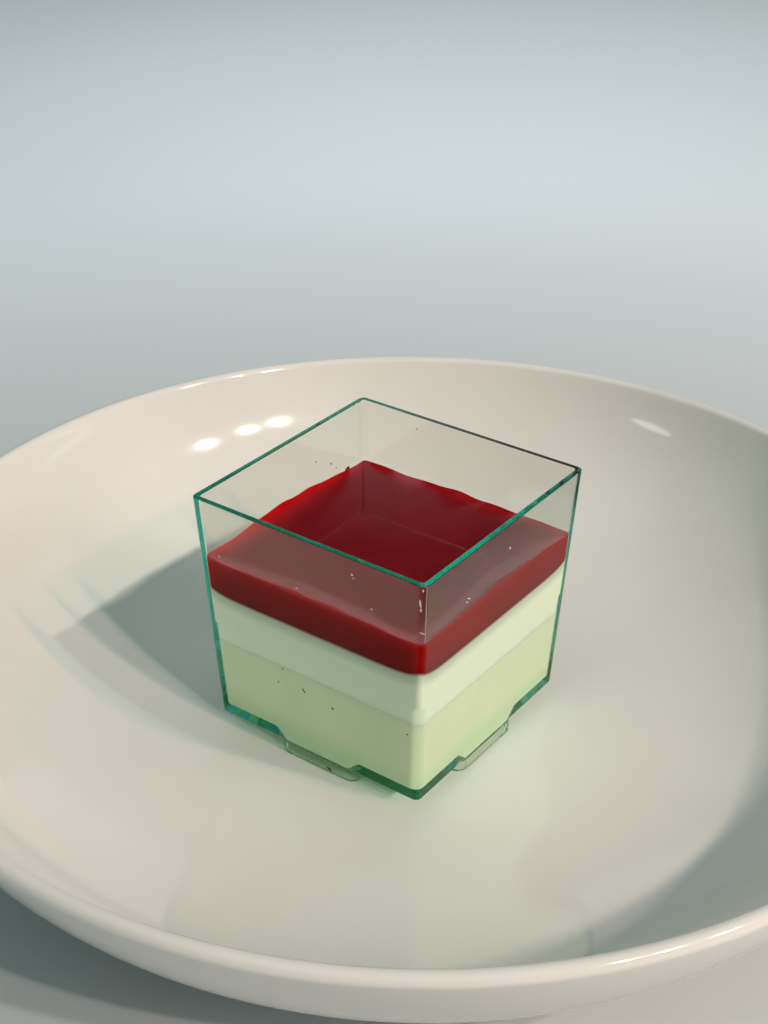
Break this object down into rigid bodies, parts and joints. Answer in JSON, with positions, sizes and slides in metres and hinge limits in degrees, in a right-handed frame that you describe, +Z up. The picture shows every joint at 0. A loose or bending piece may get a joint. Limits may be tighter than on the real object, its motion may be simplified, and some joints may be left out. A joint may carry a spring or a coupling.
{
  "type": "panna cotta",
  "caption": "A cube cup of panna cotta under a layer of red fruit jelly, set on a deep white coupe plate.",
  "frame": {"origin": "middle of the plate's foot ring, on the surface that the plate stands on", "axes": "+Z up, the way the plate stands; the cup's sides face along X and Y"},
  "size_m": [0.194, 0.194, 0.0556],
  "materials": {
    "porcelain": "clear gloss glaze",
    "clear_plastic": "clear moulded plastic, faintly green",
    "vanilla_cream": "set cream, moist",
    "milk_cream": "set cream, moist",
    "red_jelly": "set jelly, glossy"
  },
  "bodies": {
    "root": {"plate": "porcelain", "cup": "clear_plastic", "cream_lower": "vanilla_cream", "cream_upper": "milk_cream", "red_jelly": "red_jelly"}
  },
  "joints": []
}
